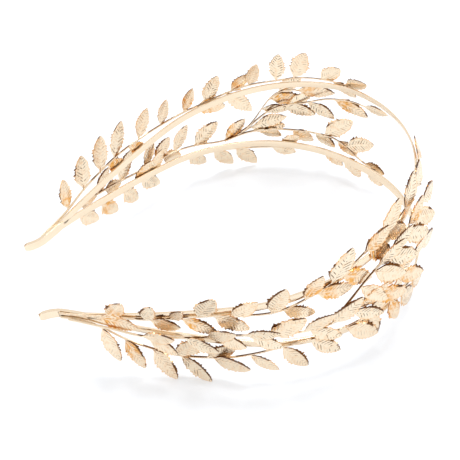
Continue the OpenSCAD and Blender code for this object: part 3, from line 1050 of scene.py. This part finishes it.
@dataclass(frozen=True)
class GoldPlate:
    """Champagne gold plate: a pale gold with rosier patches and a fine beaten texture.

    With veins, it also has painted shade in its pressed veins and nicks and along its edges, and painted
    orange reflection here and there.
    """

    name: str
    pale: Colour
    rosy: Colour
    roughness: float
    patchiness: float
    grain: float
    grain_scale: float
    # Colour of the painted orange reflection between leaves, also used for the painted shade on leaf edges.
    painted_orange: Colour = (0.80, 0.38, 0.08)
    # Colour of the painted shade in veins and nicks and along the upper edges of leaves and stems.
    painted_shade: Colour = (0.15, 0.055, 0.01)
    veins: float = 0.0
    patch_scale: float = 90
    rough_speckle: float = 0.12
    rough_patch: float = 0.08
    relief: float = 0.1 * MM
    vein_relief: float = 0.8
    nick_relief: float = 2.5
    # Strengths of the painted shade in veins and in nicks.
    vein_shade: float = 0.08
    nick_shade: float = 0.85
    # Strength of the painted shade on the cut edges of leaves.
    edge_shade: float = 0.5
    # Strength of the painted orange reflection in random patches.
    patch_reflection: float = 0.24
    rim_waves: float = 0.2

    def veins_and_shade(self, shader: Shader, place: Socket) -> tuple[Socket, Socket]:
        """Draws the pressed veins of the leaves, which deepen into short nicks here and there; the material
        presses them into the bump and darkens them with painted shade.

        Args:
            shader: The material under construction.
            place: The object coordinates.

        Returns:
            The lines of the veins and the nicks, both from 0 to 1.
        """
        across = abs(shader.attribute("across"))
        beat = shader.math("PINGPONG", shader.attribute("along") * (2 * self.veins), 1.0)
        line = shader.ramp(beat, (0.0, 1.0), (0.34, 0.0))
        on_blade = shader.ramp(across, (0.08, 0.0), (0.2, 1.0), (0.72, 1.0), (0.86, 0.0))
        deep = shader.ramp(shader.noise(420, 1, place), (0.5, 0.0), (0.55, 1.0))
        # Nicks are bold where the leaf's random pick is low and faint elsewhere, in relief and in painted
        # shade.
        bold = shader.ramp(shader.attribute("tint_and_painted_light"), (0.3, 1.0), (0.45, 0.25))
        return line * on_blade, shader.ramp(line, (0.3, 0.0), (0.5, 1.0)) * on_blade * deep * bold

    def rim_shade_lines(self, shader: Shader, place: Socket) -> Socket:
        """Draws the painted shade along the upper edges of leaves and stems, in dark lines which come and
        go.

        Args:
            shader: The material under construction.
            place: The object coordinates.

        Returns:
            The painted shade lines, from 0 to 1.
        """
        wavy = shader.attribute("rim_shade") + shader.noise(1100, 2, place) * self.rim_waves
        edge = shader.ramp(wavy - self.rim_waves / 2, (0.84, 0.0), (0.9, 1.0))
        return edge * shader.ramp(shader.noise(140, 2, place), (0.45, 0.0), (0.5, 1.0))

    def painted_reflection(self, shader: Shader, place: Socket) -> Socket:
        """Draws painted orange reflection near the base of a few leaves, broken up by the beaten surface.

        Args:
            shader: The material under construction.
            place: The object coordinates.

        Returns:
            The painted reflection, from 0 to 1.
        """
        low = shader.ramp(shader.attribute("along"), (0.04, 0.0), (0.1, 1.0), (0.3, 0.9), (0.55, 0.0))
        some = shader.ramp(shader.attribute("tint_and_painted_light"), (0.8, 0.0), (0.86, 1.0))
        return low * some * shader.ramp(shader.noise(700, 3, place), (0.42, 0.15), (0.58, 1.0))

    def outline(self, shader: Shader) -> Socket:
        """Draws painted shade on the cut edge of a leaf all round, from 0 to 1."""
        return shader.ramp(abs(shader.attribute("across")), (0.88, 0.0), (0.97, 1.0))

    def material(self) -> bpy.types.Material:
        """Builds the material.

        Returns:
            The material.
        """
        shader = Shader(bpy.data.materials.new(self.name))
        place = shader.place()
        patches = shader.noise(self.patch_scale, 3, place)
        speckle = shader.noise(self.grain_scale, 4, place, 0.6)
        ripple = shader.noise(self.grain_scale / 4, 2, place)
        height = speckle * 0.5 + ripple
        mixture = patches * self.patchiness + shader.attribute("tint_and_painted_light") * (1 - self.patchiness)
        # The base colour: pale and rosy tone at random, then painted reflection and painted shade on top.
        tone_and_painted_light = shader.blend(mixture, self.pale, self.rosy)
        if self.veins:
            line, nick = self.veins_and_shade(shader, place)
            height = height - line * self.vein_relief - nick * self.nick_relief
            # Painted orange reflection in random patches, standing in for light bounced between the leaves.
            reflection_patches = shader.ramp(shader.noise(650, 3, place), (0.48, 0.0), (0.66, 1.0))
            tone_and_painted_light = shader.blend(reflection_patches * self.patch_reflection, tone_and_painted_light, self.painted_orange)
            # Painted orange reflection near the base of a few leaves.
            tone_and_painted_light = shader.blend(self.painted_reflection(shader, place), tone_and_painted_light, self.painted_orange)
            # Painted shade on the cut edges of the leaves.
            tone_and_painted_light = shader.blend(self.outline(shader) * self.edge_shade, tone_and_painted_light, self.painted_orange)
            # Painted shade in the veins and nicks.
            tone_and_painted_light = shader.blend(line * self.vein_shade + nick * self.nick_shade, tone_and_painted_light, self.painted_shade)
            # Painted shade along the upper edges of leaves and stems.
            tone_and_painted_light = shader.blend(self.rim_shade_lines(shader, place), tone_and_painted_light, self.painted_shade)
        smoothest = self.roughness - (self.rough_speckle + self.rough_patch) / 2
        roughness = speckle * self.rough_speckle + patches * self.rough_patch + smoothest
        values = {"Strength": self.grain, "Distance": self.relief, "Height": height}
        bump = shader.node("ShaderNodeBump", {}, values, "Normal")
        values = {"Base Color": tone_and_painted_light, "Metallic": 1.0, "Roughness": roughness, "Normal": bump}
        surface = shader.node("ShaderNodeBsdfPrincipled", {}, values, "BSDF")
        shader.node("ShaderNodeOutputMaterial", {}, {"Surface": surface})
        return shader.owner


# Studio


@dataclass
class Studio:
    """A white table, soft lights and the camera."""

    eye: tuple[float, float, float] = (-0.0591, -0.2778, 0.2716)
    aim: tuple[float, float, float] = (0.0117, 0.0449, -0.0204)
    roll: float = math.radians(-6.93)
    sensor: float = 36.0
    focal: float = 74.2
    table: float = 30.0
    table_glow: float = 0.13
    room: tuple[tuple[float, Colour], ...] = (
        (0.0, (0.30, 0.12, 0.03)), (0.15, (0.46, 0.20, 0.06)),
        (0.3, (0.9, 0.88, 0.86)), (0.5, (1.0, 1.0, 1.0)),
    )
    room_light: float = 0.97
    lights: list[tuple[str, tuple[float, float, float], float, float]] = field(default_factory=lambda: [
        ("overhead", (0.4, 0.3, 1.2), 0.4, 4.5),
        ("left_window", (-1.0, 0.3, 0.9), 0.6, 1.5),
        ("right_window", (0.9, 0.2, 1.0), 0.6, 1.0),
    ])

    def floor(self) -> bpy.types.Object:
        """Lays a plain white table under the wreath.

        Returns:
            The table's top.
        """
        bpy.ops.mesh.primitive_grid_add(x_subdivisions=8, y_subdivisions=8, size=self.table)
        floor = bpy.context.object
        floor.name = "table_top"
        shader = Shader(bpy.data.materials.new("white_table"))
        cloudy = shader.noise(6, 2, shader.place())
        values = {
            "Base Color": (0.86, 0.90, 0.945, 1), "Roughness": cloudy * 0.1 + 0.55,
            "Specular IOR Level": 0.2,
            "Emission Color": (0.98, 0.985, 1.0, 1), "Emission Strength": self.table_glow,
        }
        surface = shader.node("ShaderNodeBsdfPrincipled", {}, values, "BSDF")
        shader.node("ShaderNodeOutputMaterial", {}, {"Surface": surface})
        floor.data.materials.append(shader.owner)
        return floor

    def light(self) -> None:
        """Hangs the soft lights, and sets a bright room with a darker belt round the horizon."""
        for name, place, size, power in self.lights:
            bpy.ops.object.light_add(type="AREA", location=place)
            lamp = bpy.context.object
            lamp.name = name
            lamp.data.shape = "DISK"
            lamp.data.size = size
            lamp.data.energy = power
            lamp.rotation_euler = (-Vector(place)).to_track_quat("-Z", "Y").to_euler()
        shader = Shader(bpy.data.worlds.new("soft_room"))
        bpy.context.scene.world = shader.owner
        place = shader.node("ShaderNodeTexCoord", {}, {}, "Generated")
        height = shader.node("ShaderNodeSeparateXYZ", {}, {0: place}, "Z")
        colour = shader.node("ShaderNodeValToRGB", {"stops": self.room}, {0: height})
        glow = shader.node("ShaderNodeBackground", {}, {0: colour, 1: self.room_light})
        shader.node("ShaderNodeOutputWorld", {}, {0: glow})

    def camera(self) -> bpy.types.Object:
        """Sets up the camera at the photograph's angle.

        Returns:
            The camera.
        """
        bpy.ops.object.camera_add(location=self.eye)
        camera = bpy.context.object
        view = (Vector(self.aim) - Vector(self.eye)).to_track_quat("-Z", "Y")
        camera.rotation_euler = (view.to_matrix() @ Matrix.Rotation(self.roll, 3, "Z")).to_euler()
        camera.data.sensor_width = self.sensor
        camera.data.lens = self.focal
        camera.data.clip_start = 0.01
        bpy.context.scene.camera = camera
        return camera

    def build(self) -> None:
        """Sets up the table, the lights and the camera."""
        self.floor()
        self.light()
        self.camera()
        bpy.context.scene.view_settings.view_transform = "Standard"


LEAF_FINISH = GoldPlate(
    name="champagne_leaf", pale=(0.91, 0.80, 0.63), rosy=(0.91, 0.73, 0.53),
    roughness=0.2, patchiness=0.5, grain=0.6, grain_scale=2600, veins=10,
)
RAIL_FINISH = GoldPlate(
    name="champagne_rail", pale=(0.91, 0.78, 0.60), rosy=(0.89, 0.71, 0.52),
    roughness=0.22, patchiness=1.0, grain=0.2, grain_scale=900,
)


def sprays() -> list[Spray]:
    """Lists the six sprays with their branches.

    Returns:
        The sprays.
    """
    left, right = Arm.LEFT, Arm.RIGHT
    return [
        Spray("left_upper_spray", [Branch(left, LEFT_UPPER_ROUTE, LEFT_UPPER, OUTER_LAYER)], 11),
        Spray("left_lower_spray", [Branch(left, LEFT_LOWER_ROUTE, LEFT_LOWER, OUTER_LAYER)], 23),
        Spray("left_inner_spray", [
            Branch(left, LEFT_TRUNK_ROUTE, LEFT_TRUNK, INNER_LAYER),
            Branch(left, LEFT_HIGH_ROUTE, LEFT_HIGH, INNER_LAYER),
            Branch(left, LEFT_MIDDLE_ROUTE, LEFT_MIDDLE, INNER_LAYER),
            Branch(left, LEFT_LOW_ROUTE, LEFT_LOW, INNER_LAYER),
        ], 37),
        Spray("right_upper_spray", [Branch(right, RIGHT_UPPER_ROUTE, RIGHT_UPPER, OUTER_LAYER)], 11),
        Spray("right_lower_spray", [Branch(right, RIGHT_LOWER_ROUTE, RIGHT_LOWER, OUTER_LAYER)], 23),
        Spray("right_inner_spray", [
            Branch(right, RIGHT_TRUNK_ROUTE, RIGHT_TRUNK, INNER_LAYER),
            Branch(right, RIGHT_HIGH_ROUTE, RIGHT_HIGH, INNER_LAYER),
        ], 37),
    ]


def main() -> None:
    """Builds the wreath and its studio in order."""
    logging.basicConfig(level=logging.INFO, format="%(message)s")
    Studio().build()
    LOG.info("studio ready")
    shapes = {
        Cut.BROAD: LeafShape(width=6.8 * MM, roundness=0.62, fullest=0.8, seed=5),
        Cut.OVAL: LeafShape(seed=7),
        Cut.SLIM: LeafShape(width=5.9 * MM, roundness=0.78, fullest=0.9, seed=9),
    }
    dies = {cut: LeafDie(cut, shape).model() for cut, shape in shapes.items()}
    LOG.info("leaf dies ready: %d faces each", len(dies[Cut.OVAL].data.polygons))
    rails = Rails().build(RAIL_FINISH.material())
    LOG.info("%s: %d faces", rails.name, len(rails.data.polygons))
    leaf_gold = LEAF_FINISH.material()
    for spray in sprays():
        made = spray.build(dies, leaf_gold)
        LOG.info("%s: %d faces", made.name, len(made.data.polygons))
    for die in dies.values():
        bpy.data.objects.remove(die)


if __name__ == "__main__":
    main()
